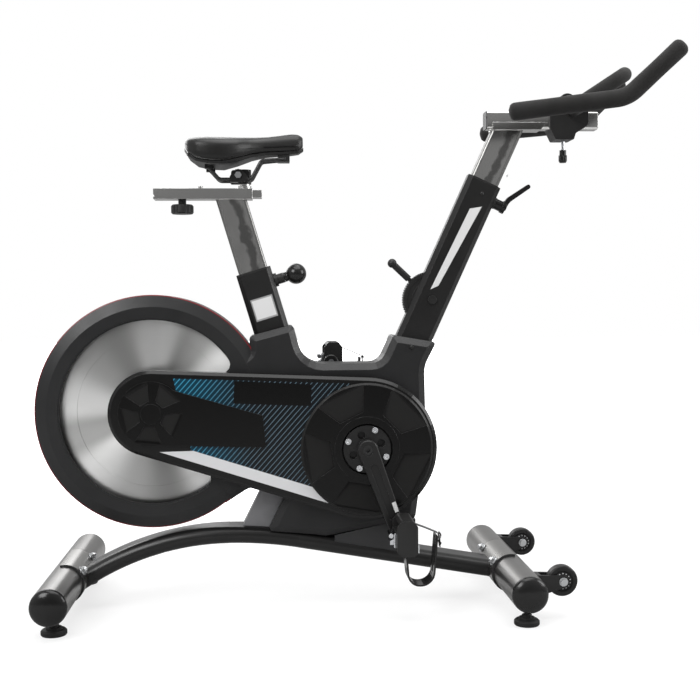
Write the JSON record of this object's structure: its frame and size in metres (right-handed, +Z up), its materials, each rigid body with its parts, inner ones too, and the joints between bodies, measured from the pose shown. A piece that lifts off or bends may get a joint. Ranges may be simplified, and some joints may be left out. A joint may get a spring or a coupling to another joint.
{
  "type": "indoor cycling bike",
  "caption": "Indoor cycling bike with a belt-driven flywheel in a round housing, arched base, sliding saddle and adjustable handlebar with an aero loop.",
  "frame": {"origin": "middle of the footprint on the floor, at the bottom centre of the bounding box", "axes": "+X points forwards to the handlebar, +Z is up, the drive side with the belt guard faces -Y"},
  "size_m": [1.2716, 0.5122, 1.1158],
  "materials": {
    "frame_black": "satin",
    "bright_chrome": "polished",
    "strut_grey": "satin",
    "shell_black": "semi-gloss",
    "guard_print": "printed gloss",
    "matte_black": "matte",
    "dark_rubber": "matte",
    "flywheel_steel": "brushed",
    "screw_steel": "bright",
    "cover_black": "fine grain",
    "grip_foam": "foam",
    "crank_black": "satin"
  },
  "bodies": {
    "frame": {"main_beam": "frame_black", "stabilizers": "bright_chrome", "stabilizer_caps": "matte_black", "saddle_plates": "bright_chrome", "frame_bolts": "screw_steel", "front_tube": "frame_black", "seat_tube": "frame_black", "frame_braces": "strut_grey", "drive_carrier": "frame_black", "ball_bearings": "screw_steel", "left_shell": "shell_black", "right_shell": "shell_black", "belt_guard": "guard_print", "crank_cover": "shell_black", "hub_cover": "shell_black", "small_screws": "screw_steel", "belt": "dark_rubber", "tube_bushings": "matte_black", "tube_fittings": "matte_black", "wheel_forks": "frame_black", "brake_housing": "matte_black"},
    "flywheel": {"flywheel": "flywheel_steel", "flywheel_shaft": "screw_steel"},
    "cranks": {"crank_axle": "screw_steel", "crank_pulley": "frame_black", "spider_screws": "bright_chrome", "crank_arms": "crank_black", "pedal_spindles": "screw_steel"},
    "pedal_left": {"pedal_left": "matte_black", "cleat_left": "bright_chrome", "toe_clip_left": "matte_black", "toe_strap_left": "dark_rubber"},
    "pedal_right": {"pedal_right": "matte_black", "cleat_right": "bright_chrome", "toe_clip_right": "matte_black", "toe_strap_right": "dark_rubber"},
    "seat_post": {"seat_post": "bright_chrome"},
    "seat_slider": {"seat_slider": "bright_chrome", "saddle_clamp": "frame_black"},
    "saddle": {"saddle_cheeks": "frame_black", "saddle_bolt": "screw_steel", "saddle_rails": "frame_black", "saddle_base": "matte_black", "saddle_cushion": "cover_black"},
    "slider_knob": {"slider_knob": "matte_black"},
    "seat_pin": {"seat_pin": "matte_black"},
    "bar_post": {"bar_post": "bright_chrome"},
    "bar_carriage": {"bar_carriage": "matte_black", "handlebar": "frame_black", "bar_grips": "grip_foam"},
    "bar_pin": {"bar_pin": "matte_black"},
    "clamp_lever": {"clamp_lever": "matte_black"},
    "resistance_lever": {"resistance_lever": "matte_black"},
    "brake_arm": {"brake_arm": "frame_black"},
    "wheel_left": {"wheel_left": "dark_rubber"},
    "wheel_right": {"wheel_right": "dark_rubber"},
    "foot_rear_left": {"foot_rear_left": "dark_rubber"},
    "foot_rear_right": {"foot_rear_right": "dark_rubber"},
    "foot_front_left": {"foot_front_left": "dark_rubber"},
    "foot_front_right": {"foot_front_right": "dark_rubber"}
  },
  "joints": [
    {"name": "flywheel_spin", "type": "hinge", "parent": "frame", "child": "flywheel", "pos_m": [-0.403, 0, 0.402], "axis": [0, 1, 0], "continuous": true},
    {"name": "crank_spin", "type": "hinge", "parent": "frame", "child": "cranks", "pos_m": [0.023, 0, 0.326], "axis": [0, 1, 0], "continuous": true},
    {"name": "pedal_left_spin", "type": "hinge", "parent": "cranks", "child": "pedal_left", "pos_m": [0.08285, -0.164, 0.16155], "axis": [0, 1, 0], "continuous": true},
    {"name": "pedal_right_spin", "type": "hinge", "parent": "cranks", "child": "pedal_right", "pos_m": [-0.03685, 0.164, 0.49045], "axis": [0, 1, 0], "continuous": true},
    {"name": "seat_height", "type": "slide", "parent": "frame", "child": "seat_post", "axis": [-0.284, 0, 0.9588], "range_m": [-0.1, 0.1]},
    {"name": "seat_fore_aft", "type": "slide", "parent": "seat_post", "child": "seat_slider", "axis": [1, 0, 0], "range_m": [-0.08, 0.06]},
    {"name": "saddle_tilt", "type": "hinge", "parent": "seat_slider", "child": "saddle", "pos_m": [-0.22819, 0, 0.875], "axis": [0, 1, 0], "range_deg": [-12, 12]},
    {"name": "slider_knob_turn", "type": "hinge", "parent": "seat_post", "child": "slider_knob", "pos_m": [-0.34219, 0, 0.81], "axis": [0, 0, 1], "range_deg": [-180, 180]},
    {"name": "seat_pin_pull", "type": "slide", "parent": "frame", "child": "seat_pin", "axis": [0.9588, 0, 0.284], "range_m": [0, 0.008], "stiffness_N_per_m": 1500},
    {"name": "bar_height", "type": "slide", "parent": "frame", "child": "bar_post", "axis": [0.4163, 0, 0.9092], "range_m": [-0.04, 0.1]},
    {"name": "bar_fore_aft", "type": "slide", "parent": "bar_post", "child": "bar_carriage", "axis": [1, 0, 0], "range_m": [0, 0.02]},
    {"name": "bar_pin_pull", "type": "slide", "parent": "bar_carriage", "child": "bar_pin", "axis": [0, 0, -1], "range_m": [0, 0.008], "stiffness_N_per_m": 900},
    {"name": "clamp_lever_turn", "type": "hinge", "parent": "frame", "child": "clamp_lever", "pos_m": [0.26284, 0, 0.83654], "axis": [0.9092, 0, -0.4163], "range_deg": [-120, 120]},
    {"name": "resistance_swing", "type": "hinge", "parent": "frame", "child": "resistance_lever", "pos_m": [0.1646, 0, 0.62196], "axis": [0, 1, 0], "range_deg": [-58, 20]},
    {"name": "brake_swing", "type": "hinge", "parent": "frame", "child": "brake_arm", "pos_m": [-0.177, 0, 0.344], "axis": [0, 1, 0], "range_deg": [-6, 2.1]},
    {"name": "wheel_left_spin", "type": "hinge", "parent": "frame", "child": "wheel_left", "pos_m": [0.3945, -0.174, 0.0745], "axis": [0, 1, 0], "continuous": true},
    {"name": "wheel_right_spin", "type": "hinge", "parent": "frame", "child": "wheel_right", "pos_m": [0.3945, 0.174, 0.0745], "axis": [0, 1, 0], "continuous": true},
    {"name": "foot_rear_left_turn", "type": "hinge", "parent": "frame", "child": "foot_rear_left", "pos_m": [-0.578, -0.19, 0.03], "axis": [0, 0, 1], "range_deg": [-720, 720]},
    {"name": "foot_rear_right_turn", "type": "hinge", "parent": "frame", "child": "foot_rear_right", "pos_m": [-0.578, 0.19, 0.03], "axis": [0, 0, 1], "range_deg": [-720, 720]},
    {"name": "foot_front_left_turn", "type": "hinge", "parent": "frame", "child": "foot_front_left", "pos_m": [0.317, -0.212, 0.03], "axis": [0, 0, 1], "range_deg": [-720, 720]},
    {"name": "foot_front_right_turn", "type": "hinge", "parent": "frame", "child": "foot_front_right", "pos_m": [0.317, 0.212, 0.03], "axis": [0, 0, 1], "range_deg": [-720, 720]}
  ],
  "couplings": [
    {"joint": "crank_spin", "follows": "flywheel_spin", "ratio": 0.32381},
    {"joint": "brake_swing", "follows": "resistance_swing", "ratio": 0.1}
  ]
}
